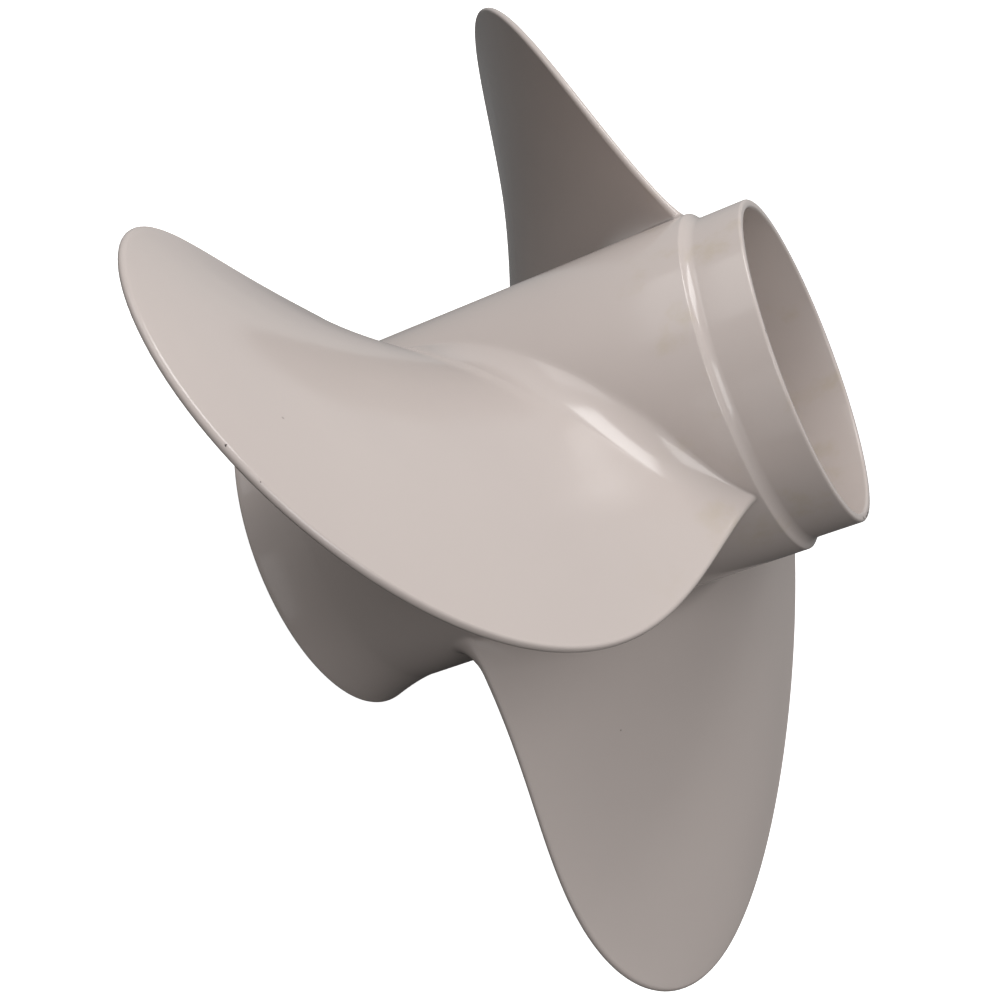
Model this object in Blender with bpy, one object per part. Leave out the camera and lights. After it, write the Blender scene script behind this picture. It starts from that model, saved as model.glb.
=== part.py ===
"""Three-blade through-hub propeller for an outboard or stern-drive leg.

The aluminium casting (barrel, inner hub, webs and blades) is one piece. A rubber bush is
pressed into its inner hub, and a splined sleeve is bonded into the bush.
The shaft axis is Z. The casting stands on its aft rim, and its front collar points up.
"""

import math

import bmesh
import bpy
from mathutils import Matrix, Vector

MM = 0.001

# Casting: barrel along the shaft axis
BARREL_LENGTH = 169.2 * MM
AFT_RIM_Z = -85.5 * MM
FRONT_RIM_Z = AFT_RIM_Z + BARREL_LENGTH
COLLAR_RADIUS = 51.8 * MM
COLLAR_LENGTH = 16.6 * MM
COLLAR_FILLET = 0.8 * MM
SHOULDER_RISE = 1.7 * MM
BARREL_RADIUS = 54.4 * MM
FLARE_LENGTH = 18.0 * MM
FLARE_STEPS = 7
AFT_RIM_RADIUS = 58.4 * MM
AFT_RIM_WALL = 3.8 * MM
BORE_RADIUS = 49.0 * MM
RIM_ROUND = 0.6 * MM
OVERRUN = 5.0 * MM

# Casting: inner hub and the webs that carry it
INNER_HUB_RADIUS = 31.0 * MM
INNER_HUB_BORE = 25.0 * MM
INNER_HUB_FRONT_Z = FRONT_RIM_Z - 32.0 * MM
INNER_HUB_AFT_Z = AFT_RIM_Z + 34.0 * MM
WEB_COUNT = 3
WEB_THICKNESS = 8.0 * MM
WEB_SETBACK = 3.0 * MM
WEB_TURN = math.radians(30.0)

# Blades: laws over the share of the way from root radius to tip radius
BLADE_COUNT = 3
BLADE_TURN = math.radians(-14.0)
ROOT_RADIUS = 51.8 * MM
TIP_RADIUS = 190.5 * MM
MID_CHORD_Z = FRONT_RIM_Z - 71.8 * MM
RAKE_SLOPE = math.tan(math.radians(10.7))
RAKE_CURL = 8.4 * MM
PITCH = (0.370, 0.430, 0.414)
HALF_CHORD = (0.0689, 0.0760, 0.0855, 0.0826)
SKEW_DEGREES = (0.0, 7.3, 5.1, -0.3)
TIP_FULLNESS = 3.93
ROOT_THICKNESS = 11.0 * MM
THICKNESS_FALL = 0.85
SECTION_FALL = 1.6
EDGE_RADIUS = 1.2 * MM
OUTLINE_RADIUS = TIP_RADIUS - EDGE_RADIUS
CORNER_SHARE = 0.87
CHORD_STEPS = 14
SPAN_STEPS = 13
EDGE_STEPS = 3

# Root fillet: small round the leading edge, and at the trailing edge small in front and wide aft
ROOT_FILLET = 10.0 * MM
LEADING_SWELL = 0.1
TRAILING_FRONT_SWELL = 0.15
TRAILING_AFT_SWELL = 1.2
SWELL_REACH = 0.5
FILLET_STEPS = 4
FILLET_BASE = BARREL_RADIUS - 0.2 * MM

# Rubber bush and splined sleeve
GAP = 0.3 * MM
BUSH_RADIUS = INNER_HUB_BORE - GAP
BUSH_SETBACK = 4.0 * MM
SLEEVE_RADIUS = 16.0 * MM
SLEEVE_FRONT_Z = INNER_HUB_FRONT_Z + 3.0 * MM
SLEEVE_AFT_Z = INNER_HUB_AFT_Z - 2.0 * MM
SPLINE_TEETH = 15
SPLINE_ROOT_RADIUS = 12.8 * MM
SPLINE_CREST_RADIUS = 11.4 * MM

ROUND_SEGMENTS = 72
PAINT = ("painted_aluminium", (0.62, 0.56, 0.54, 1.0), 0.28, 0.0)
RUBBER = ("black_rubber", (0.03, 0.03, 0.03, 1.0), 0.75, 0.0)
BRASS = ("sleeve_brass", (0.55, 0.40, 0.16, 1.0), 0.35, 1.0)


def through(values, share):
    """The smooth curve through values set at equal steps from 0 to 1, read at share."""
    last = len(values) - 1
    total = 0.0
    for i, value in enumerate(values):
        term = value
        for j in range(len(values)):
            if j != i:
                term *= (share * last - j) / (i - j)
        total += term
    return total


def finish_of(name, colour, roughness, metallic):
    """A material with one colour and one finish."""
    material = bpy.data.materials.new(name)
    material.use_nodes = True
    shader = material.node_tree.nodes["Principled BSDF"]
    shader.inputs["Base Color"].default_value = colour
    shader.inputs["Roughness"].default_value = roughness
    shader.inputs["Metallic"].default_value = metallic
    return material


def mesh_object(name, points, faces, finish=None):
    """A named object from points and faces, with its faces turned outwards."""
    mesh = bpy.data.meshes.new(name)
    mesh.from_pydata(points, [], faces)
    shape = bmesh.new()
    shape.from_mesh(mesh)
    bmesh.ops.recalc_face_normals(shape, faces=shape.faces)
    shape.to_mesh(mesh)
    shape.free()
    if finish:
        mesh.materials.append(finish)
    made = bpy.data.objects.new(name, mesh)
    bpy.context.scene.collection.objects.link(made)
    return made


def turned(name, profile, finish=None, hollow=True):
    """A profile of (radius, z) points turned about the shaft axis.

    A hollow profile closes on itself. The other kind is a solid with a flat face at each end.
    """
    points = []
    for i in range(ROUND_SEGMENTS):
        angle = math.tau * i / ROUND_SEGMENTS
        for radius, z in profile:
            points.append((radius * math.cos(angle), radius * math.sin(angle), z))
    count = len(profile)
    spans = count if hollow else count - 1
    faces = []
    for i in range(ROUND_SEGMENTS):
        here = i * count
        there = ((i + 1) % ROUND_SEGMENTS) * count
        for j in range(spans):
            k = (j + 1) % count
            faces.append((here + j, there + j, there + k, here + k))
    if not hollow:
        faces.append(tuple(i * count for i in range(ROUND_SEGMENTS)))
        faces.append(tuple(i * count + count - 1 for i in range(ROUND_SEGMENTS)))
    return mesh_object(name, points, faces, finish)


def barrel_profile():
    """Outside of the barrel from the aft rim up to the front rim."""
    shoulder_z = FRONT_RIM_Z - COLLAR_LENGTH
    profile = [(AFT_RIM_RADIUS - RIM_ROUND, AFT_RIM_Z), (AFT_RIM_RADIUS, AFT_RIM_Z + RIM_ROUND)]
    for i in range(1, FLARE_STEPS + 1):
        height = RIM_ROUND + (FLARE_LENGTH - RIM_ROUND) * i / FLARE_STEPS
        fall = (1.0 - height / FLARE_LENGTH) ** 1.5
        profile.append((BARREL_RADIUS + (AFT_RIM_RADIUS - BARREL_RADIUS) * fall, AFT_RIM_Z + height))
    profile += [
        (BARREL_RADIUS, shoulder_z - SHOULDER_RISE),
        (COLLAR_RADIUS + COLLAR_FILLET, shoulder_z),
        (COLLAR_RADIUS, shoulder_z + COLLAR_FILLET),
        (COLLAR_RADIUS, FRONT_RIM_Z - RIM_ROUND),
        (COLLAR_RADIUS - RIM_ROUND, FRONT_RIM_Z),
    ]
    return profile


def bore_profile():
    """Inside of the barrel, run past both rims."""
    aft = AFT_RIM_RADIUS - AFT_RIM_WALL
    return [
        (aft, AFT_RIM_Z - OVERRUN),
        (aft, AFT_RIM_Z),
        (BORE_RADIUS, AFT_RIM_Z + 1.5 * FLARE_LENGTH),
        (BORE_RADIUS, FRONT_RIM_Z + OVERRUN),
    ]


def inner_hub_profile():
    """The tube that holds the rubber bush."""
    return [
        (INNER_HUB_BORE, INNER_HUB_AFT_Z),
        (INNER_HUB_RADIUS, INNER_HUB_AFT_Z),
        (INNER_HUB_RADIUS, INNER_HUB_FRONT_Z),
        (INNER_HUB_BORE, INNER_HUB_FRONT_Z),
    ]


def web(index):
    """One flat web from the inner hub's wall to the barrel's wall."""
    inner = (INNER_HUB_RADIUS + INNER_HUB_BORE) / 2.0
    outer = (BORE_RADIUS + BARREL_RADIUS) / 2.0
    half = WEB_THICKNESS / 2.0
    low = INNER_HUB_AFT_Z + WEB_SETBACK
    high = INNER_HUB_FRONT_Z - WEB_SETBACK
    points = []
    for z in (low, high):
        points += [(inner, -half, z), (outer, -half, z), (outer, half, z), (inner, half, z)]
    faces = [(0, 3, 2, 1), (4, 5, 6, 7), (0, 1, 5, 4), (1, 2, 6, 5), (2, 3, 7, 6), (3, 0, 4, 7)]
    made = mesh_object(f"web_{index + 1}", points, faces)
    made.data.transform(Matrix.Rotation(WEB_TURN + math.tau * index / WEB_COUNT, 4, "Z"))
    return made


def share_at(radius):
    """The share of the way from root radius to the outline's tip."""
    return min(max((radius - ROOT_RADIUS) / (OUTLINE_RADIUS - ROOT_RADIUS), 0.0), 1.0)


def half_chord(share):
    """Half the blade's chord, which closes to nothing at the tip."""
    return through(HALF_CHORD, share) * math.sqrt(max(0.0, 1.0 - share**TIP_FULLNESS))


def tip_radius_at(width):
    """The radius beyond the corner share at which half the chord has fallen to width."""
    low, high = CORNER_SHARE, 1.0
    for _ in range(40):
        middle = (low + high) / 2.0
        if half_chord(middle) > width:
            low = middle
        else:
            high = middle
    return ROOT_RADIUS + (OUTLINE_RADIUS - ROOT_RADIUS) * high


def on_blade(along, lift, radius):
    """A point placed along the chord towards the trailing edge, and lifted forwards."""
    share = share_at(radius)
    pitch_per_radian = through(PITCH, share) / math.tau
    slope = math.hypot(radius, pitch_per_radian)
    sine = pitch_per_radian / slope
    cosine = radius / slope
    # Towards the trailing edge the blade turns clockwise seen from the front, and goes aft.
    angle = math.radians(through(SKEW_DEGREES, share)) - (along * cosine + lift * sine) / radius
    rake = RAKE_SLOPE * (radius - ROOT_RADIUS) + RAKE_CURL * share * share
    z = MID_CHORD_Z - rake - along * sine + lift * cosine
    return Vector((radius * math.cos(angle), radius * math.sin(angle), z))


def front_lift(across, share):
    """Height of the blade's curved front side. Its aft side is flat, an edge radius below."""
    middle = 2.0 * EDGE_RADIUS + (ROOT_THICKNESS - 2.0 * EDGE_RADIUS) * (1.0 - share) ** THICKNESS_FALL
    across = min(1.0, abs(across))
    return EDGE_RADIUS + (middle - 2.0 * EDGE_RADIUS) * (1.0 - across * across) ** SECTION_FALL


def edge_points(along, radius, front_swell=0.0, aft_swell=0.0):
    """Points round the blade's rounded edge from its front side to its aft side."""
    step = 0.0001
    share = max(step, share_at(radius))
    rise = (OUTLINE_RADIUS - ROOT_RADIUS) * step
    widening = half_chord(share) - half_chord(share - step)
    outward = math.copysign(rise, along) / math.hypot(rise, widening)
    upward = -widening / math.hypot(rise, widening)
    points = []
    for i in range(1, EDGE_STEPS + 1):
        turn = math.pi * i / (EDGE_STEPS + 1)
        swell = front_swell + (aft_swell - front_swell) * i / (EDGE_STEPS + 1)
        reach = (EDGE_RADIUS + swell) * math.sin(turn)
        lift = (EDGE_RADIUS + swell) * math.cos(turn)
        higher = radius + upward * EDGE_RADIUS * math.sin(turn)
        points.append(on_blade(along + outward * reach, lift, higher))
    return points


def chord_places():
    """Places across the chord, -1 at the leading edge to 1, closer together at the edges."""
    return [-math.cos(math.pi * i / CHORD_STEPS) for i in range(CHORD_STEPS + 1)]


def face_grid(root):
    """(along, radius) rows over the blade's face from the root radius up and over the tip."""
    corner = ROOT_RADIUS + (OUTLINE_RADIUS - ROOT_RADIUS) * CORNER_SHARE
    rows = []
    for j in range(SPAN_STEPS + 1):
        up = j / SPAN_STEPS
        side = root + (corner - root) * up
        width = half_chord(share_at(side))
        row = []
        for across in chord_places():
            top = tip_radius_at(abs(across) * half_chord(CORNER_SHARE))
            row.append((across * width, side + up * (top - corner)))
        rows.append(row)
    return rows


def swell_at(across, trailing_swell):
    """The root fillet's share of its full size at a place across the chord."""
    leading = min(1.0, (1.0 + across) / SWELL_REACH)
    trailing = min(1.0, (1.0 - across) / SWELL_REACH)
    return LEADING_SWELL + (1.0 - LEADING_SWELL) * leading + (trailing_swell - 1.0) * (1.0 - trailing)


def root_loop(radius, swell):
    """The closed section loop at a radius, swollen outwards for the root fillet."""
    share = share_at(radius)
    width = half_chord(share)
    front = []
    aft = []
    for across in chord_places():
        front_swell = swell * swell_at(across, TRAILING_FRONT_SWELL)
        aft_swell = swell * swell_at(across, TRAILING_AFT_SWELL)
        front.append(on_blade(across * width, front_lift(across, share) + front_swell, radius))
        aft.append(on_blade(across * width, -EDGE_RADIUS - aft_swell, radius))
    trailing = edge_points(width, radius, swell * TRAILING_FRONT_SWELL, swell * TRAILING_AFT_SWELL)
    leading = edge_points(-width, radius, swell * LEADING_SWELL, swell * LEADING_SWELL)
    return front + trailing + aft[::-1] + leading[::-1]


def blade(index):
    """One blade: two faces, the rounded edge between them, and the flared root."""
    points = []

    def added(point):
        points.append(point)
        return len(points) - 1

    front = []
    aft = []
    grid = face_grid(FILLET_BASE + ROOT_FILLET)
    for row in grid:
        front.append([])
        aft.append([])
        for along, radius in row:
            share = share_at(radius)
            width = half_chord(share)
            across = along / width if width > 0.0 else 1.0
            front[-1].append(added(on_blade(along, front_lift(across, share), radius)))
            aft[-1].append(added(on_blade(along, -EDGE_RADIUS, radius)))
    faces = []
    for j in range(SPAN_STEPS):
        for i in range(CHORD_STEPS):
            for side in (front, aft):
                faces.append((side[j][i], side[j][i + 1], side[j + 1][i + 1], side[j + 1][i]))
    outline = [(j, 0) for j in range(SPAN_STEPS)]
    outline += [(SPAN_STEPS, i) for i in range(CHORD_STEPS + 1)]
    outline += [(j, CHORD_STEPS) for j in range(SPAN_STEPS - 1, -1, -1)]
    chains = []
    for j, i in outline:
        chain = [added(point) for point in edge_points(*grid[j][i])]
        chains.append([front[j][i]] + chain + [aft[j][i]])
    for here, there in zip(chains, chains[1:]):
        for i in range(EDGE_STEPS + 1):
            faces.append((here[i], here[i + 1], there[i + 1], there[i]))
    loop = front[0] + chains[-1][1:-1] + aft[0][::-1] + chains[0][1:-1][::-1]
    rings = [(FILLET_BASE, ROOT_FILLET)]
    for i in range(1, FILLET_STEPS):
        fall = math.pi / 2.0 * i / FILLET_STEPS
        height = ROOT_FILLET * (1.0 - math.cos(fall))
        rings.append((FILLET_BASE + height, ROOT_FILLET * (1.0 - math.sin(fall))))
    rings.insert(0, ((FILLET_BASE + BORE_RADIUS) / 2.0, ROOT_FILLET))
    for radius, swell in reversed(rings):
        lower = [added(point) for point in root_loop(radius, swell)]
        for i in range(len(loop)):
            k = (i + 1) % len(loop)
            faces.append((loop[i], loop[k], lower[k], lower[i]))
        loop = lower
    faces.append(tuple(loop))
    made = mesh_object(f"blade_{index + 1}", points, faces)
    made.data.transform(Matrix.Rotation(BLADE_TURN + math.tau * index / BLADE_COUNT, 4, "Z"))
    return made


def combine(body, other, operation):
    """Joins other to body or cuts it away, and removes other."""
    change = body.modifiers.new("change", "BOOLEAN")
    change.operation = operation
    change.solver = "EXACT"
    change.object = other
    graph = bpy.context.evaluated_depsgraph_get()
    changed = bpy.data.meshes.new_from_object(body.evaluated_get(graph))
    body.modifiers.clear()
    body.data = changed
    bpy.data.objects.remove(other)


def shade(made, angle=35.0):
    """Smooth shading with sharp edges where faces meet at more than angle."""
    made.data.shade_smooth()
    made.data.set_sharp_from_angle(angle=math.radians(angle))


def casting(finish):
    """Barrel, inner hub, webs and blades as one solid."""
    body = turned("propeller_casting", barrel_profile(), finish, hollow=False)
    for i in range(BLADE_COUNT):
        combine(body, blade(i), "UNION")
    combine(body, turned("bore", bore_profile(), hollow=False), "DIFFERENCE")
    combine(body, turned("inner_hub", inner_hub_profile()), "UNION")
    for i in range(WEB_COUNT):
        combine(body, web(i), "UNION")
    shade(body)
    return body


def rubber_bush(finish):
    """The rubber bush between the inner hub and the sleeve."""
    low = INNER_HUB_AFT_Z + BUSH_SETBACK
    high = INNER_HUB_FRONT_Z - BUSH_SETBACK
    inner = SLEEVE_RADIUS + GAP
    profile = [(inner, low), (BUSH_RADIUS, low), (BUSH_RADIUS, high), (inner, high)]
    made = turned("rubber_bush", profile, finish)
    shade(made)
    return made


def splined_sleeve(finish):
    """The sleeve, round outside and splined inside."""
    outer = []
    inner = []
    steps = SPLINE_TEETH * 4
    for i in range(steps):
        angle = math.tau * (i + 0.5) / steps
        radius = SPLINE_CREST_RADIUS if i % 4 in (0, 1) else SPLINE_ROOT_RADIUS
        outer.append((SLEEVE_RADIUS * math.cos(angle), SLEEVE_RADIUS * math.sin(angle)))
        inner.append((radius * math.cos(angle), radius * math.sin(angle)))
    points = [(x, y, z) for z in (SLEEVE_AFT_Z, SLEEVE_FRONT_Z) for ring in (outer, inner) for x, y in ring]
    faces = []
    low_out, low_in, high_out, high_in = (n * steps for n in range(4))
    for i in range(steps):
        k = (i + 1) % steps
        faces.append((low_out + i, low_out + k, high_out + k, high_out + i))
        faces.append((low_in + k, low_in + i, high_in + i, high_in + k))
        faces.append((low_out + k, low_out + i, low_in + i, low_in + k))
        faces.append((high_out + i, high_out + k, high_in + k, high_in + i))
    made = mesh_object("splined_sleeve", points, faces, finish)
    shade(made, 20.0)
    return made


def main():
    for old in list(bpy.data.objects):
        bpy.data.objects.remove(old)
    casting(finish_of(*PAINT))
    rubber_bush(finish_of(*RUBBER))
    splined_sleeve(finish_of(*BRASS))


main()
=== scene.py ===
import math

import bmesh
import bpy
from mathutils import Matrix, Vector
from mathutils.kdtree import KDTree


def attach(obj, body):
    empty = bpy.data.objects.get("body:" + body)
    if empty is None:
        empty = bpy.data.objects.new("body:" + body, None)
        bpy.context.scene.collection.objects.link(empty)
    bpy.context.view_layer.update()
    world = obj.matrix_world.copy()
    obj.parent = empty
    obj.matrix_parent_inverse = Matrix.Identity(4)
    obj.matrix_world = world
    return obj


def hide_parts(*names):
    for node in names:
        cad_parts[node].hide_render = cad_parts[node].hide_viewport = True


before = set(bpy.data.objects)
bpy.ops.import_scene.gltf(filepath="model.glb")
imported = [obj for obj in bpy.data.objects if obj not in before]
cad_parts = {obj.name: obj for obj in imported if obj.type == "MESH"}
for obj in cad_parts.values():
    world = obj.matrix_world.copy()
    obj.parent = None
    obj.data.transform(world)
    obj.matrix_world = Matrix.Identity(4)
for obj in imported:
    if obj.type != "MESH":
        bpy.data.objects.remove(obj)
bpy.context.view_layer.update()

MM = 0.001

# Barrel, as in the solids
BARREL_LENGTH = 169.2 * MM
AFT_RIM_Z = -85.5 * MM
FRONT_RIM_Z = AFT_RIM_Z + BARREL_LENGTH
COLLAR_RADIUS = 51.8 * MM
COLLAR_LENGTH = 16.6 * MM
COLLAR_FILLET = 2.0 * MM
SHOULDER_ROUND = 0.35 * MM
RIM_ROUND = 0.9 * MM
SHOULDER_RISE = 1.7 * MM
BARREL_RADIUS = 54.4 * MM
FLARE_LENGTH = 18.0 * MM
FLARE_STEPS = 9
AFT_RIM_RADIUS = 58.4 * MM
AFT_RIM_WALL = 3.8 * MM
BORE_RADIUS = 49.0 * MM
BARREL_SEGMENTS = 240

# Inner hub and webs, as in the solids
INNER_HUB_RADIUS = 31.0 * MM
INNER_HUB_BORE = 25.0 * MM
INNER_HUB_FRONT_Z = FRONT_RIM_Z - 32.0 * MM
INNER_HUB_AFT_Z = AFT_RIM_Z + 34.0 * MM
WEB_COUNT = 3
WEB_THICKNESS = 8.0 * MM
WEB_SETBACK = 3.0 * MM
WEB_TURN = math.radians(30.0)
WEB_FILLET = 5.0 * MM
WEB_END_ROUND = 2.5 * MM

# Blades, as in the solids
BLADE_COUNT = 3
BLADE_TURN = math.radians(-14.0)
ROOT_RADIUS = 51.8 * MM
TIP_RADIUS = 190.5 * MM
MID_CHORD_Z = FRONT_RIM_Z - 71.8 * MM
RAKE_SLOPE = math.tan(math.radians(10.7))
RAKE_CURL = 8.4 * MM
PITCH = (0.370, 0.430, 0.414)
HALF_CHORD = (0.0689, 0.0760, 0.0855, 0.0826)
SKEW_DEGREES = (0.0, 7.3, 5.1, -0.3)
TIP_FULLNESS = 3.93
ROOT_THICKNESS = 11.0 * MM
THICKNESS_FALL = 0.85
SECTION_FALL = 1.6
EDGE_RADIUS = 1.2 * MM
OUTLINE_RADIUS = TIP_RADIUS - EDGE_RADIUS
CORNER_SHARE = 0.87
ROOT_FILLET = 10.0 * MM
LEADING_SWELL = 0.1
TRAILING_FRONT_SWELL = 0.15
TRAILING_AFT_SWELL = 1.2
SWELL_REACH = 0.5
FILLET_BASE = BARREL_RADIUS - 0.03 * MM
CHORD_STEPS = 44
SPAN_STEPS = 48
EDGE_STEPS = 7
FILLET_STEPS = 14

# Bush and sleeve, as in the solids
GAP = 0.3 * MM
BUSH_RADIUS = INNER_HUB_BORE - GAP
BUSH_SETBACK = 4.0 * MM
SLEEVE_RADIUS = 16.0 * MM
SLEEVE_FRONT_Z = INNER_HUB_FRONT_Z + 3.0 * MM
SLEEVE_AFT_Z = INNER_HUB_AFT_Z - 2.0 * MM
SPLINE_TEETH = 15
SPLINE_ROOT_RADIUS = 12.8 * MM
SPLINE_CREST_RADIUS = 11.4 * MM


def through(values, share):
    """The smooth curve through values set at equal steps from 0 to 1, read at share."""
    last = len(values) - 1
    total = 0.0
    for i, value in enumerate(values):
        term = value
        for j in range(len(values)):
            if j != i:
                term *= (share * last - j) / (i - j)
        total += term
    return total


def srgb(code):
    """Linear colour from a hex code."""
    channels = [int(code[i : i + 2], 16) / 255.0 for i in (1, 3, 5)]
    linear = [c / 12.92 if c <= 0.04045 else ((c + 0.055) / 1.055) ** 2.4 for c in channels]
    return (*linear, 1.0)


def mesh_object(name, points, faces):
    """A named object from points and faces, with its faces turned outwards."""
    mesh = bpy.data.meshes.new(name)
    mesh.from_pydata(points, [], faces)
    shape = bmesh.new()
    shape.from_mesh(mesh)
    bmesh.ops.recalc_face_normals(shape, faces=shape.faces)
    shape.to_mesh(mesh)
    shape.free()
    made = bpy.data.objects.new(name, mesh)
    bpy.context.scene.collection.objects.link(made)
    return made


# A point closer than this to a place counts as at it.
NEAR = 0.01 * MM


def select_points(made, test):
    """Selects just the points of the mesh in edit mode that pass the test."""
    bpy.ops.mesh.select_mode(type="VERT")
    bpy.ops.mesh.select_all(action="DESELECT")
    shape = bmesh.from_edit_mesh(made.data)
    for point in shape.verts:
        point.select = test(point.co)
    shape.select_flush(True)
    bmesh.update_edit_mesh(made.data)


def select_ring(made, radius, z):
    """Selects the ring of points at a radius and height."""
    select_points(made, lambda co: abs(co.z - z) < NEAR and abs(math.hypot(co.x, co.y) - radius) < NEAR)


def set_ring(made, radius, z, new_radius):
    """Widens or narrows one ring of points."""
    select_ring(made, radius, z)
    share = new_radius / radius
    bpy.ops.transform.resize(value=(share, share, 1.0), center_override=(0.0, 0.0, 0.0))


def round_ring(made, radius, z, size, steps):
    """Rounds the edge that runs round the shaft at a radius and height."""
    select_ring(made, radius, z)
    bpy.ops.mesh.bevel(offset=size, offset_type="OFFSET", segments=steps, affect="EDGES")


def cut_across(co, normal):
    """Cuts the whole mesh in edit mode by a plane, and keeps both sides."""
    bpy.ops.mesh.select_all(action="SELECT")
    bpy.ops.mesh.bisect(plane_co=co, plane_no=normal)


def tube(name, segments, inner, outer, low, high):
    """A closed tube round the shaft axis, extruded from a circle and left in edit mode."""
    bpy.ops.object.select_all(action="DESELECT")
    bpy.ops.mesh.primitive_circle_add(vertices=segments, radius=inner, location=(0.0, 0.0, low))
    made = bpy.context.active_object
    made.name = name
    bpy.ops.object.transform_apply(location=True, rotation=True, scale=True)
    bpy.ops.object.mode_set(mode="EDIT")
    bpy.ops.mesh.select_all(action="SELECT")
    for share, rise in ((outer / inner, 0.0), (1.0, high - low), (inner / outer, 0.0), (1.0, low - high)):
        bpy.ops.mesh.extrude_region_move(TRANSFORM_OT_translate={"value": (0.0, 0.0, rise)})
        bpy.ops.transform.resize(value=(share, share, 1.0), center_override=(0.0, 0.0, 0.0))
    bpy.ops.mesh.select_all(action="SELECT")
    bpy.ops.mesh.remove_doubles(threshold=NEAR)
    bpy.ops.mesh.normals_make_consistent(inside=False)
    return made


def barrel():
    """The hollow barrel: a tube cut across, narrowed to its collar and widened to its aft rim."""
    made = tube("casting", BARREL_SEGMENTS, BORE_RADIUS, BARREL_RADIUS, AFT_RIM_Z, FRONT_RIM_Z)
    shoulder_z = FRONT_RIM_Z - COLLAR_LENGTH
    bore_flare = 1.5 * FLARE_LENGTH
    flare_heights = [FLARE_LENGTH * i / FLARE_STEPS for i in range(1, FLARE_STEPS + 1)]
    middle_heights = [bore_flare, 60.0 * MM, 105.0 * MM]
    for z in [AFT_RIM_Z + height for height in flare_heights + middle_heights]:
        cut_across((0.0, 0.0, z), (0.0, 0.0, 1.0))
    for z in (shoulder_z - SHOULDER_RISE, shoulder_z):
        cut_across((0.0, 0.0, z), (0.0, 0.0, 1.0))
    for z in (shoulder_z, FRONT_RIM_Z):
        set_ring(made, BARREL_RADIUS, z, COLLAR_RADIUS)
    rim_bore = AFT_RIM_RADIUS - AFT_RIM_WALL
    for height in [0.0] + flare_heights:
        fall = (1.0 - height / FLARE_LENGTH) ** 1.5
        bore = rim_bore + (BORE_RADIUS - rim_bore) * height / bore_flare
        set_ring(made, BORE_RADIUS, AFT_RIM_Z + height, bore)
        if fall > 0.0:
            outside = BARREL_RADIUS + (AFT_RIM_RADIUS - BARREL_RADIUS) * fall
            set_ring(made, BARREL_RADIUS, AFT_RIM_Z + height, outside)
    round_ring(made, COLLAR_RADIUS, shoulder_z, COLLAR_FILLET, 6)
    round_ring(made, BARREL_RADIUS, shoulder_z - SHOULDER_RISE, SHOULDER_ROUND, 2)
    round_ring(made, COLLAR_RADIUS, FRONT_RIM_Z, RIM_ROUND, 4)
    round_ring(made, BORE_RADIUS, FRONT_RIM_Z, RIM_ROUND, 4)
    round_ring(made, AFT_RIM_RADIUS, AFT_RIM_Z, RIM_ROUND, 4)
    round_ring(made, rim_bore, AFT_RIM_Z, RIM_ROUND, 4)
    bpy.ops.object.mode_set(mode="OBJECT")
    return made


def inner_hub():
    """The tube that holds the rubber bush, with rounded rims."""
    low, high = INNER_HUB_AFT_Z, INNER_HUB_FRONT_Z
    made = tube("inner_hub", 120, INNER_HUB_BORE, INNER_HUB_RADIUS, low, high)
    for z in (low, high):
        round_ring(made, INNER_HUB_RADIUS, z, 1.5 * MM, 4)
        round_ring(made, INNER_HUB_BORE, z, 0.8 * MM, 3)
    bpy.ops.object.mode_set(mode="OBJECT")
    return made


def web():
    """One web: a block cut across in steps near both walls, and widened there to its fillets."""
    inner = INNER_HUB_BORE + 2.0 * MM
    outer = BORE_RADIUS + 2.0 * MM
    low = INNER_HUB_AFT_Z + WEB_SETBACK
    high = INNER_HUB_FRONT_Z - WEB_SETBACK
    bpy.ops.object.select_all(action="DESELECT")
    middle = ((inner + outer) / 2.0, 0.0, (low + high) / 2.0)
    bpy.ops.mesh.primitive_cube_add(size=1.0, location=middle, scale=(outer - inner, WEB_THICKNESS, high - low))
    made = bpy.context.active_object
    made.name = "web"
    bpy.ops.object.transform_apply(location=True, rotation=True, scale=True)
    bpy.ops.object.mode_set(mode="EDIT")
    steps = 8
    widths = {inner: WEB_FILLET, outer: WEB_FILLET}
    for i in range(steps + 1):
        away = WEB_FILLET * (1.0 - math.cos(math.pi / 2.0 * i / steps))
        growth = WEB_FILLET * (1.0 - math.sin(math.pi / 2.0 * i / steps))
        for x in (INNER_HUB_RADIUS + away, BORE_RADIUS - away):
            cut_across((x, 0.0, 0.0), (1.0, 0.0, 0.0))
            widths[x] = growth
    for x, growth in widths.items():
        select_points(made, lambda co: abs(co.x - x) < NEAR)
        share = (WEB_THICKNESS / 2.0 + growth) / (WEB_THICKNESS / 2.0)
        bpy.ops.transform.resize(value=(1.0, share, 1.0), center_override=(0.0, 0.0, 0.0))
    for z in (low, high):
        for side in (-1.0, 1.0):
            select_points(made, lambda co: abs(co.z - z) < NEAR and co.y * side > 0.0)
            bpy.ops.mesh.bevel(offset=WEB_END_ROUND, segments=4, affect="EDGES")
    bpy.ops.object.mode_set(mode="OBJECT")
    return made


def share_at(radius):
    """The share of the way from root radius to the outline's tip."""
    return min(max((radius - ROOT_RADIUS) / (OUTLINE_RADIUS - ROOT_RADIUS), 0.0), 1.0)


def half_chord(share):
    """Half the blade's chord, which closes to nothing at the tip."""
    return through(HALF_CHORD, share) * math.sqrt(max(0.0, 1.0 - share**TIP_FULLNESS))


def tip_radius_at(width):
    """The radius beyond the corner share at which half the chord has fallen to width."""
    low, high = CORNER_SHARE, 1.0
    for _ in range(40):
        middle = (low + high) / 2.0
        if half_chord(middle) > width:
            low = middle
        else:
            high = middle
    return ROOT_RADIUS + (OUTLINE_RADIUS - ROOT_RADIUS) * high


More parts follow.
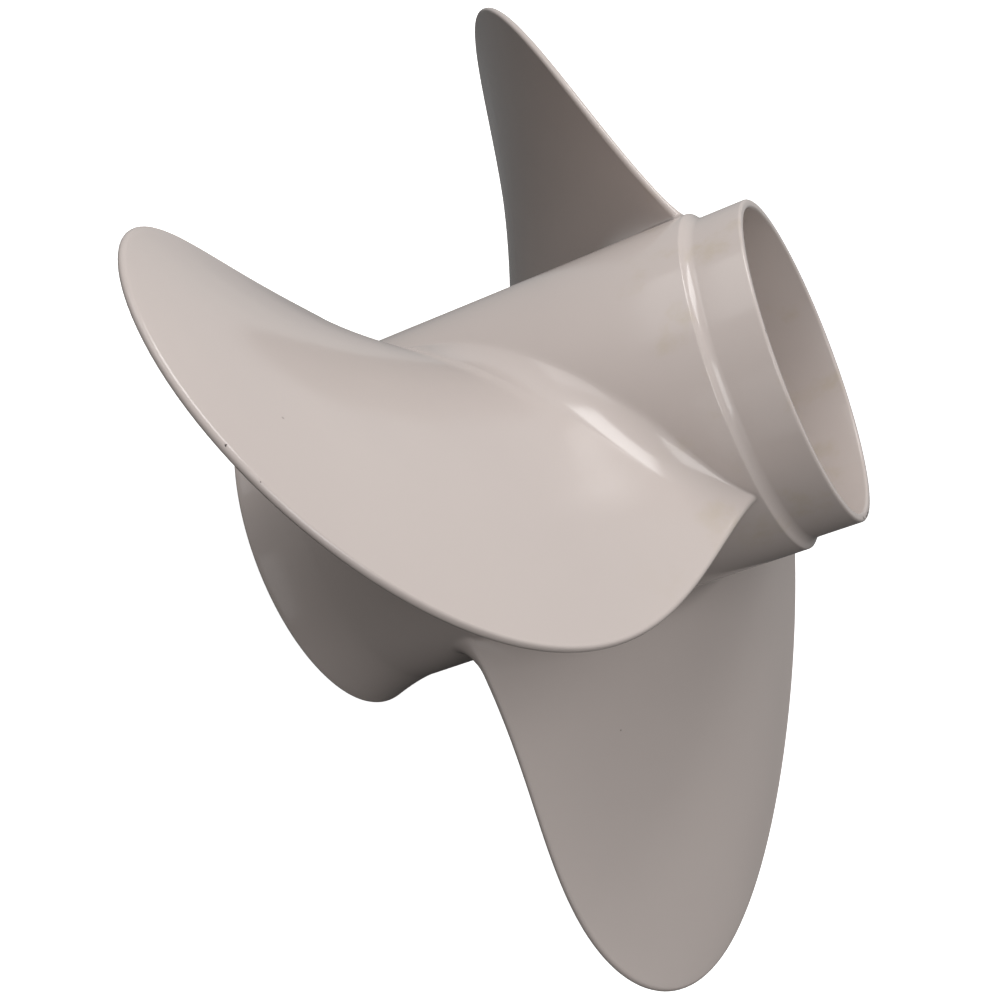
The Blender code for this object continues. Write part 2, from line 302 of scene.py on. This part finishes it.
def on_blade(along, lift, radius):
    """A point placed along the chord towards the trailing edge, and lifted forwards."""
    share = share_at(radius)
    pitch_per_radian = through(PITCH, share) / math.tau
    slope = math.hypot(radius, pitch_per_radian)
    sine = pitch_per_radian / slope
    cosine = radius / slope
    # Towards the trailing edge the blade turns clockwise seen from the front, and goes aft.
    angle = math.radians(through(SKEW_DEGREES, share)) - (along * cosine + lift * sine) / radius
    rake = RAKE_SLOPE * (radius - ROOT_RADIUS) + RAKE_CURL * share * share
    z = MID_CHORD_Z - rake - along * sine + lift * cosine
    return Vector((radius * math.cos(angle), radius * math.sin(angle), z))


def front_lift(across, share):
    """Height of the blade's curved front side. Its aft side is flat, an edge radius below."""
    middle = 2.0 * EDGE_RADIUS + (ROOT_THICKNESS - 2.0 * EDGE_RADIUS) * (1.0 - share) ** THICKNESS_FALL
    across = min(1.0, abs(across))
    return EDGE_RADIUS + (middle - 2.0 * EDGE_RADIUS) * (1.0 - across * across) ** SECTION_FALL


def edge_points(along, radius, front_swell=0.0, aft_swell=0.0):
    """Points round the blade's rounded edge from its front side to its aft side."""
    step = 0.0001
    share = max(step, share_at(radius))
    rise = (OUTLINE_RADIUS - ROOT_RADIUS) * step
    widening = half_chord(share) - half_chord(share - step)
    outward = math.copysign(rise, along) / math.hypot(rise, widening)
    upward = -widening / math.hypot(rise, widening)
    points = []
    for i in range(1, EDGE_STEPS + 1):
        turn = math.pi * i / (EDGE_STEPS + 1)
        swell = front_swell + (aft_swell - front_swell) * i / (EDGE_STEPS + 1)
        reach = (EDGE_RADIUS + swell) * math.sin(turn)
        lift = (EDGE_RADIUS + swell) * math.cos(turn)
        higher = radius + upward * EDGE_RADIUS * math.sin(turn)
        points.append(on_blade(along + outward * reach, lift, higher))
    return points


def chord_places():
    """Places across the chord, -1 at the leading edge to 1, closer together at the edges."""
    return [-math.cos(math.pi * i / CHORD_STEPS) for i in range(CHORD_STEPS + 1)]


def face_grid(root):
    """(along, radius) rows over the blade's face from the root radius up and over the tip."""
    corner = ROOT_RADIUS + (OUTLINE_RADIUS - ROOT_RADIUS) * CORNER_SHARE
    rows = []
    for j in range(SPAN_STEPS + 1):
        up = j / SPAN_STEPS
        side = root + (corner - root) * up
        width = half_chord(share_at(side))
        row = []
        for across in chord_places():
            top = tip_radius_at(abs(across) * half_chord(CORNER_SHARE))
            row.append((across * width, side + up * (top - corner)))
        rows.append(row)
    return rows


def swell_at(across, trailing_swell):
    """The root fillet's share of its full size at a place across the chord."""
    leading = min(1.0, (1.0 + across) / SWELL_REACH)
    trailing = min(1.0, (1.0 - across) / SWELL_REACH)
    return LEADING_SWELL + (1.0 - LEADING_SWELL) * leading + (trailing_swell - 1.0) * (1.0 - trailing)


def root_loop(radius, swell):
    """The closed section loop at a radius, swollen outwards for the root fillet."""
    share = share_at(radius)
    width = half_chord(share)
    front = []
    aft = []
    for across in chord_places():
        front_swell = swell * swell_at(across, TRAILING_FRONT_SWELL)
        aft_swell = swell * swell_at(across, TRAILING_AFT_SWELL)
        front.append(on_blade(across * width, front_lift(across, share) + front_swell, radius))
        aft.append(on_blade(across * width, -EDGE_RADIUS - aft_swell, radius))
    trailing = edge_points(width, radius, swell * TRAILING_FRONT_SWELL, swell * TRAILING_AFT_SWELL)
    leading = edge_points(-width, radius, swell * LEADING_SWELL, swell * LEADING_SWELL)
    return front + trailing + aft[::-1] + leading[::-1]


def blade(index):
    """One blade: two faces, the rounded edge between them, and the flared root."""
    points = []

    def added(point):
        points.append(point)
        return len(points) - 1

    front = []
    aft = []
    grid = face_grid(FILLET_BASE + ROOT_FILLET)
    for row in grid:
        front.append([])
        aft.append([])
        for along, radius in row:
            share = share_at(radius)
            width = half_chord(share)
            across = along / width if width > 0.0 else 1.0
            front[-1].append(added(on_blade(along, front_lift(across, share), radius)))
            aft[-1].append(added(on_blade(along, -EDGE_RADIUS, radius)))
    faces = []
    for j in range(SPAN_STEPS):
        for i in range(CHORD_STEPS):
            for side in (front, aft):
                faces.append((side[j][i], side[j][i + 1], side[j + 1][i + 1], side[j + 1][i]))
    outline = [(j, 0) for j in range(SPAN_STEPS)]
    outline += [(SPAN_STEPS, i) for i in range(CHORD_STEPS + 1)]
    outline += [(j, CHORD_STEPS) for j in range(SPAN_STEPS - 1, -1, -1)]
    chains = []
    for j, i in outline:
        chain = [added(point) for point in edge_points(*grid[j][i])]
        chains.append([front[j][i]] + chain + [aft[j][i]])
    for here, there in zip(chains, chains[1:]):
        for i in range(EDGE_STEPS + 1):
            faces.append((here[i], here[i + 1], there[i + 1], there[i]))
    loop = front[0] + chains[-1][1:-1] + aft[0][::-1] + chains[0][1:-1][::-1]
    rings = [(FILLET_BASE, ROOT_FILLET)]
    for i in range(1, FILLET_STEPS):
        fall = math.pi / 2.0 * i / FILLET_STEPS
        height = ROOT_FILLET * (1.0 - math.cos(fall))
        rings.append((FILLET_BASE + height, ROOT_FILLET * (1.0 - math.sin(fall))))
    base = (FILLET_BASE + BORE_RADIUS) / 2.0
    rings.insert(0, (base, ROOT_FILLET))
    for radius, swell in reversed(rings):
        lower = [added(point) for point in root_loop(radius, swell)]
        for i in range(len(loop)):
            k = (i + 1) % len(loop)
            faces.append((loop[i], loop[k], lower[k], lower[i]))
        loop = lower
    # The end inside the wall follows the wall's curve, in columns from the front to the aft side.
    last = CHORD_STEPS + 1
    columns = [[loop[0]] + loop[-1 : -EDGE_STEPS - 1 : -1] + [loop[-EDGE_STEPS - 1]]]
    for i in range(last):
        front_point = Vector(points[loop[i]])
        aft_point = Vector(points[loop[2 * last + EDGE_STEPS - 1 - i]])
        column = [loop[i]]
        for k in range(1, EDGE_STEPS + 1):
            point = front_point.lerp(aft_point, k / (EDGE_STEPS + 1))
            out = base / math.hypot(point.x, point.y)
            column.append(added(Vector((point.x * out, point.y * out, point.z))))
        columns.append(column + [loop[2 * last + EDGE_STEPS - 1 - i]])
    columns.append(loop[last - 1 : last + EDGE_STEPS + 1])
    for here, there in zip(columns, columns[1:]):
        for k in range(EDGE_STEPS + 1):
            quad = (here[k], here[k + 1], there[k + 1], there[k])
            if len(set(quad)) >= 3:
                faces.append(tuple(dict.fromkeys(quad)))
    made = mesh_object(f"blade_{index + 1}", points, faces)
    made.data.transform(Matrix.Rotation(BLADE_TURN + math.tau * index / BLADE_COUNT, 4, "Z"))
    return made


def join(body, other):
    """Joins another closed shape to body as one skin, and removes it."""
    bpy.ops.object.select_all(action="DESELECT")
    bpy.context.view_layer.objects.active = body
    body.select_set(True)
    bpy.ops.object.modifier_add(type="BOOLEAN")
    change = body.modifiers[-1]
    change.operation = "UNION"
    change.solver = "MANIFOLD"
    change.object = other
    bpy.ops.object.modifier_apply(modifier=change.name)
    bpy.data.objects.remove(other)


def finish_piece(piece, node):
    """Hangs a finished piece on the root body and hides the solid it stands for."""
    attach(piece, "root")
    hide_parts(node)


def smooth_skin(mesh):
    """Smooth shading that runs from the barrel into each blade's root with no crease."""
    mesh.shade_smooth()
    mesh.set_sharp_from_angle(angle=math.radians(40.0))
    blend_height = 1.2 * MM
    normals = []
    for vertex in mesh.vertices:
        x, y, z = vertex.co
        radius = math.hypot(x, y)
        height = radius - BARREL_RADIUS
        straight = AFT_RIM_Z + FLARE_LENGTH < z < FRONT_RIM_Z - COLLAR_LENGTH - SHOULDER_RISE - 1.0 * MM
        if straight and -0.05 * MM < height < blend_height:
            share = max(0.0, height / blend_height)
            outward = Vector((x / radius, y / radius, 0.0))
            normals.append(outward.lerp(vertex.normal, share * share * (3.0 - 2.0 * share)).normalized())
        else:
            normals.append(Vector((0.0, 0.0, 0.0)))
    mesh.normals_split_custom_set_from_vertices(normals)


def edge_places():
    """Places along the casting's exposed edges: the blades' outlines and both rims."""
    places = []
    steps = 240
    for i in range(BLADE_COUNT):
        turn = Matrix.Rotation(BLADE_TURN + math.tau * i / BLADE_COUNT, 3, "Z")
        for k in range(steps + 1):
            radius = ROOT_RADIUS + (OUTLINE_RADIUS - ROOT_RADIUS) * math.sin(math.pi / 2.0 * k / steps)
            width = half_chord(share_at(radius))
            places += [turn @ on_blade(side * width, 0.0, radius) for side in (-1.0, 1.0)]
    for radius, z in ((COLLAR_RADIUS - RIM_ROUND, FRONT_RIM_Z), (AFT_RIM_RADIUS - RIM_ROUND, AFT_RIM_Z)):
        for k in range(2 * steps):
            angle = math.pi * k / steps
            places.append(Vector((radius * math.cos(angle), radius * math.sin(angle), z)))
    return places


def mark_edges(mesh):
    """Writes how close each point is to an exposed edge, for the wear in the paint."""
    places = edge_places()
    tree = KDTree(len(places))
    for i, place in enumerate(places):
        tree.insert(place, i)
    tree.balance()
    reach = 5.0 * MM
    wear = mesh.attributes.new("edge_wear", "FLOAT", "POINT")
    for vertex in mesh.vertices:
        distance = tree.find(vertex.co)[2]
        wear.data[vertex.index].value = max(0.0, 1.0 - distance / reach)


def casting():
    """Barrel, blades, inner hub and webs as one skin."""
    body = barrel()
    for i in range(BLADE_COUNT):
        join(body, blade(i))
    join(body, inner_hub())
    first_web = web()
    for i in range(WEB_COUNT):
        copy = bpy.data.objects.new(f"web_{i + 1}", first_web.data.copy())
        bpy.context.scene.collection.objects.link(copy)
        copy.data.transform(Matrix.Rotation(WEB_TURN + math.tau * i / WEB_COUNT, 4, "Z"))
        join(body, copy)
    bpy.data.objects.remove(first_web)
    smooth_skin(body.data)
    mark_edges(body.data)
    finish_piece(body, "propeller_casting")
    return body


def bush():
    """The rubber bush, with a moulded groove round each end face."""
    low = INNER_HUB_AFT_Z + BUSH_SETBACK
    high = INNER_HUB_FRONT_Z - BUSH_SETBACK
    inner = SLEEVE_RADIUS + GAP
    made = tube("bush", 120, inner, BUSH_RADIUS, low, high)
    for z in (low, high):
        select_points(made, lambda co: abs(co.z - z) < NEAR)
        bpy.ops.mesh.inset(thickness=1.8 * MM, depth=0.0)
        bpy.ops.mesh.inset(thickness=0.8 * MM, depth=-1.2 * MM)
        round_ring(made, BUSH_RADIUS, z, 0.8 * MM, 3)
        round_ring(made, inner, z, 0.8 * MM, 3)
    bpy.ops.object.mode_set(mode="OBJECT")
    made.data.shade_smooth()
    made.data.set_sharp_from_angle(angle=math.radians(40.0))
    finish_piece(made, "rubber_bush")
    return made


def sleeve():
    """The sleeve: a tube whose inside points are moved out in groups to cut the splines."""
    groove_points = 8
    segments = SPLINE_TEETH * groove_points
    low, high = SLEEVE_AFT_Z, SLEEVE_FRONT_Z
    made = tube("sleeve", segments, SPLINE_CREST_RADIUS, SLEEVE_RADIUS, low, high)

    def in_groove(co):
        step = round(math.atan2(co.y, co.x) / math.tau * segments)
        return math.hypot(co.x, co.y) < SLEEVE_RADIUS - MM and step % groove_points < groove_points / 2

    select_points(made, in_groove)
    share = SPLINE_ROOT_RADIUS / SPLINE_CREST_RADIUS
    bpy.ops.transform.resize(value=(share, share, 1.0), center_override=(0.0, 0.0, 0.0))
    for z in (low, high):
        round_ring(made, SLEEVE_RADIUS, z, 0.8 * MM, 1)
    bpy.ops.object.mode_set(mode="OBJECT")
    made.data.shade_smooth()
    made.data.set_sharp_from_angle(angle=math.radians(25.0))
    finish_piece(made, "splined_sleeve")
    return made


def new_material(name, colour, roughness, metallic=0.0, ior=1.5):
    """A material with its shader set to one colour and finish."""
    material = bpy.data.materials.new(name)
    material.use_nodes = True
    shader = material.node_tree.nodes["Principled BSDF"]
    shader.inputs["Base Color"].default_value = srgb(colour)
    shader.inputs["Roughness"].default_value = roughness
    shader.inputs["Metallic"].default_value = metallic
    shader.inputs["IOR"].default_value = ior
    return material, shader


def add_node(tree, kind, links=None, **settings):
    """Adds a node, sets its properties or input values, and links its inputs."""
    node = tree.nodes.new(kind)
    for key, value in settings.items():
        if key in node.inputs:
            node.inputs[key].default_value = value
        else:
            setattr(node, key, value)
    for socket, source in (links or {}).items():
        tree.links.new(source, node.inputs[socket])
    return node


def gloss_paint():
    """Gloss enamel sprayed on cast aluminium: a smooth warm grey skin over a slightly wavy ground."""
    material, shader = new_material("sprayed_gloss_enamel", "#c8bdb8", 0.15)
    tree = material.node_tree
    place = add_node(tree, "ShaderNodeTexCoord").outputs["Object"]
    worn = add_node(tree, "ShaderNodeAttribute", attribute_name="edge_wear").outputs["Fac"]

    # Thick and thin spray, in patches some 60 mm across.
    patches = add_node(tree, "ShaderNodeTexNoise", {"Vector": place}, Scale=16.0, Detail=3.0)
    colour = add_node(tree, "ShaderNodeMix", {"Factor": patches.outputs["Fac"]}, data_type="RGBA")
    colour.inputs["A"].default_value = srgb("#cbc0ba")
    colour.inputs["B"].default_value = srgb("#c4b9b4")

    # Cream stains behind the shoulder, some 8 mm across, where water has dried.
    height = add_node(tree, "ShaderNodeSeparateXYZ", {"Vector": place}).outputs["Z"]
    behind = add_node(tree, "ShaderNodeMapRange", {"Value": height}, interpolation_type="SMOOTHSTEP")
    behind.inputs["From Min"].default_value = FRONT_RIM_Z - COLLAR_LENGTH - 32.0 * MM
    behind.inputs["From Max"].default_value = FRONT_RIM_Z - COLLAR_LENGTH - 4.0 * MM
    blots = add_node(tree, "ShaderNodeTexNoise", {"Vector": place}, Scale=60.0, Detail=5.0, Roughness=0.6)
    blot = add_node(tree, "ShaderNodeMapRange", {"Value": blots.outputs["Fac"]}, interpolation_type="SMOOTHSTEP")
    blot.inputs["From Min"].default_value = 0.54
    blot.inputs["From Max"].default_value = 0.75
    blot.inputs["To Max"].default_value = 0.35
    links = {0: behind.outputs["Result"], 1: blot.outputs["Result"]}
    stain = add_node(tree, "ShaderNodeMath", links, operation="MULTIPLY")
    links = {"Factor": stain.outputs[0], "A": colour.outputs["Result"]}
    colour = add_node(tree, "ShaderNodeMix", links, data_type="RGBA")
    colour.inputs["B"].default_value = srgb("#b8a98c")

    # Specks of grit under the paint, about 0.7 mm across and some 20 mm apart.
    grit = add_node(tree, "ShaderNodeTexVoronoi", {"Vector": place}, Scale=48.0)
    speck = add_node(tree, "ShaderNodeMapRange", {"Value": grit.outputs["Distance"]})
    speck.inputs["From Min"].default_value = 0.024
    speck.inputs["From Max"].default_value = 0.012
    pick = add_node(tree, "ShaderNodeSeparateColor", {"Color": grit.outputs["Color"]})
    chosen = add_node(tree, "ShaderNodeMapRange", {"Value": pick.outputs["Red"]})
    chosen.inputs["From Min"].default_value = 0.66
    chosen.inputs["From Max"].default_value = 0.9
    chosen.inputs["To Max"].default_value = 0.8
    links = {0: speck.outputs["Result"], 1: chosen.outputs["Result"]}
    specks = add_node(tree, "ShaderNodeMath", links, operation="MULTIPLY")
    links = {"Factor": specks.outputs[0], "A": colour.outputs["Result"]}
    colour = add_node(tree, "ShaderNodeMix", links, data_type="RGBA")
    colour.inputs["B"].default_value = srgb("#4a3c36")

    # Chips down to the dull metal along exposed edges, 1 to 3 mm long, in groups.
    flakes = add_node(tree, "ShaderNodeTexNoise", {"Vector": place}, Scale=420.0, Detail=3.0, Roughness=0.6)
    groups = add_node(tree, "ShaderNodeTexNoise", {"Vector": place}, Scale=34.0, Detail=2.0)
    links = {0: flakes.outputs["Fac"], 1: groups.outputs["Fac"]}
    broken = add_node(tree, "ShaderNodeMath", links, operation="ADD")
    links = {0: broken.outputs[0], 1: worn}
    exposed = add_node(tree, "ShaderNodeMath", links, operation="ADD")
    chip = add_node(tree, "ShaderNodeMapRange", {"Value": exposed.outputs[0]})
    chip.inputs["From Min"].default_value = 2.13
    chip.inputs["From Max"].default_value = 2.16
    links = {"Factor": chip.outputs["Result"], "A": colour.outputs["Result"]}
    colour = add_node(tree, "ShaderNodeMix", links, data_type="RGBA")
    colour.inputs["B"].default_value = srgb("#4b4341")
    tree.links.new(colour.outputs["Result"], shader.inputs["Base Color"])

    # Gloss dulls a little in patches, and is lost in chips.
    sheen = add_node(tree, "ShaderNodeMapRange", {"Value": patches.outputs["Fac"]})
    sheen.inputs["From Min"].default_value = 0.3
    sheen.inputs["From Max"].default_value = 0.7
    sheen.inputs["To Min"].default_value = 0.12
    sheen.inputs["To Max"].default_value = 0.19
    links = {"Factor": chip.outputs["Result"], "A": sheen.outputs["Result"]}
    dulled = add_node(tree, "ShaderNodeMix", links, data_type="FLOAT")
    dulled.inputs["B"].default_value = 0.55
    tree.links.new(dulled.outputs["Result"], shader.inputs["Roughness"])

    # The cast ground waves over some 25 mm, the spray has a 1.5 mm orange peel, and chips are sunk.
    waves = add_node(tree, "ShaderNodeTexNoise", {"Vector": place}, Scale=38.0, Detail=1.0)
    normal = add_node(tree, "ShaderNodeBump", {"Height": waves.outputs["Fac"]}, Distance=0.12 * MM)
    peel = add_node(tree, "ShaderNodeTexNoise", {"Vector": place}, Scale=650.0, Detail=1.0)
    links = {"Height": peel.outputs["Fac"], "Normal": normal.outputs["Normal"]}
    normal = add_node(tree, "ShaderNodeBump", links, Distance=0.006 * MM)
    links = {"Height": chip.outputs["Result"], "Normal": normal.outputs["Normal"]}
    normal = add_node(tree, "ShaderNodeBump", links, Distance=0.08 * MM, invert=True)
    tree.links.new(normal.outputs["Normal"], shader.inputs["Normal"])
    return material


def moulded_rubber():
    """Black moulded rubber: matt, with a fine grain and pale dust in patches."""
    material, shader = new_material("moulded_rubber", "#1b1a1a", 0.7)
    tree = material.node_tree
    place = add_node(tree, "ShaderNodeTexCoord").outputs["Object"]
    dust = add_node(tree, "ShaderNodeTexNoise", {"Vector": place}, Scale=90.0, Detail=6.0, Roughness=0.7)
    share = add_node(tree, "ShaderNodeMapRange", {"Value": dust.outputs["Fac"]})
    share.inputs["From Min"].default_value = 0.4
    share.inputs["From Max"].default_value = 0.8
    share.inputs["To Max"].default_value = 0.5
    colour = add_node(tree, "ShaderNodeMix", {"Factor": share.outputs["Result"]}, data_type="RGBA")
    colour.inputs["A"].default_value = srgb("#1b1a1a")
    colour.inputs["B"].default_value = srgb("#4a4541")
    tree.links.new(colour.outputs["Result"], shader.inputs["Base Color"])
    grain = add_node(tree, "ShaderNodeTexNoise", {"Vector": place}, Scale=1400.0, Detail=2.0)
    normal = add_node(tree, "ShaderNodeBump", {"Height": grain.outputs["Fac"]}, Distance=0.03 * MM)
    tree.links.new(normal.outputs["Normal"], shader.inputs["Normal"])
    return material


def machined_brass():
    """Turned brass: bright, with tool lines round it and a brown tarnish."""
    material, shader = new_material("machined_brass", "#b9975b", 0.32, 1.0)
    tree = material.node_tree
    place = add_node(tree, "ShaderNodeTexCoord").outputs["Object"]
    tarnish = add_node(tree, "ShaderNodeTexNoise", {"Vector": place}, Scale=70.0, Detail=5.0)
    colour = add_node(tree, "ShaderNodeMix", {"Factor": tarnish.outputs["Fac"]}, data_type="RGBA")
    colour.inputs["A"].default_value = srgb("#c9a86a")
    colour.inputs["B"].default_value = srgb("#96794a")
    tree.links.new(colour.outputs["Result"], shader.inputs["Base Color"])
    # Tool lines 0.5 mm apart, coarser than the real ones so that they show.
    links = {"Vector": place}
    lines = add_node(tree, "ShaderNodeTexWave", links, bands_direction="Z", Scale=100.0, Distortion=0.5)
    normal = add_node(tree, "ShaderNodeBump", {"Height": lines.outputs["Fac"]}, Distance=0.01 * MM)
    tree.links.new(normal.outputs["Normal"], shader.inputs["Normal"])
    return material


paint = gloss_paint()
rubber = moulded_rubber()
brass = machined_brass()

for make, material in ((casting, paint), (bush, rubber), (sleeve, brass)):
    piece = make()
    piece.data.materials.clear()
    piece.data.materials.append(material)


def area_light(name, place, aim, width, height, power, colour="#ffffff"):
    """A soft light at place, turned towards aim."""
    data = bpy.data.lights.new(name, "AREA")
    data.shape = "RECTANGLE"
    data.size = width
    data.size_y = height
    data.energy = power
    data.color = srgb(colour)[:3]
    made = bpy.data.objects.new(name, data)
    made.location = place
    made.rotation_euler = (Vector(aim) - Vector(place)).to_track_quat("-Z", "Y").to_euler()
    made.visible_camera = False
    bpy.context.scene.collection.objects.link(made)
    return made


# Floor
floor_size = 40.0
floor_z = AFT_RIM_Z
floor = mesh_object("floor", [
    (-floor_size, -floor_size, floor_z), (floor_size, -floor_size, floor_z),
    (floor_size, floor_size, floor_z), (-floor_size, floor_size, floor_z),
], [(0, 1, 2, 3)])
floor_material, floor_shader = new_material("floor_pale", "#f4f3f1", 0.9)
floor_shader.inputs["Emission Color"].default_value = (1.0, 1.0, 1.0, 1.0)
floor_shader.inputs["Emission Strength"].default_value = 0.88
floor.data.materials.append(floor_material)
floor.visible_diffuse = False
floor.visible_glossy = False

# Camera at the photograph's viewing angle
camera_data = bpy.data.cameras.new("camera")
camera_data.lens = 63.49
camera_data.sensor_width = 36.0
camera_data.clip_end = 200.0
camera = bpy.data.objects.new("camera", camera_data)
bpy.context.scene.collection.objects.link(camera)
camera_back = Vector((0.9380, 0.0, 0.3467)).normalized()
camera_right = Vector((-0.3256, 0.3432, 0.8810))
camera_right = (camera_right - camera_back * camera_right.dot(camera_back)).normalized()
camera_up = camera_back.cross(camera_right)
camera.location = (0.536, 0.008, FRONT_RIM_Z + 0.0892)
camera.rotation_mode = "QUATERNION"
camera.rotation_quaternion = Matrix((camera_right, camera_up, camera_back)).transposed().to_quaternion()
bpy.context.scene.camera = camera

# Light
world = bpy.data.worlds.new("studio")
bpy.context.scene.world = world
world.use_nodes = True
background = world.node_tree.nodes["Background"]
direction = add_node(world.node_tree, "ShaderNodeTexCoord").outputs["Generated"]
towards = add_node(world.node_tree, "ShaderNodeVectorMath", {0: direction}, operation="DOT_PRODUCT")
towards.inputs[1].default_value = Vector((0.0, -0.75, 0.66)).normalized()
links = {"Value": towards.outputs["Value"]}
level = add_node(world.node_tree, "ShaderNodeMapRange", links, interpolation_type="SMOOTHSTEP")
level.inputs["From Min"].default_value = -0.55
level.inputs["From Max"].default_value = 0.5
level.inputs["To Min"].default_value = 0.02
level.inputs["To Max"].default_value = 0.45
ray =add_node(world.node_tree, "ShaderNodeLightPath")
links = {0: level.outputs["Result"], 1: ray.outputs["Is Camera Ray"]}
strength = add_node(world.node_tree, "ShaderNodeMath", links, operation="MAXIMUM")
world.node_tree.links.new(strength.outputs[0], background.inputs["Strength"])
background.inputs["Color"].default_value = (1.0, 1.0, 1.0, 1.0)
area_light("key_light", (0.06, -0.85, 0.85), (0.0, 0.0, 0.0), 0.6, 0.6, 6.0)
area_light("side_light", (0.85, 0.0, 0.85), (0.0, 0.0, 0.0), 0.6, 0.6, 3.8)
area_light("top_light", (0.5, -1.0, 0.15), (0.0, 0.0, 0.0), 0.9, 0.4, 1.5)
area_light("front_fill", (1.15, 0.4, 0.3), (0.0, 0.0, 0.0), 1.0, 0.7, 1.2)
bpy.context.scene.view_settings.view_transform = "Standard"
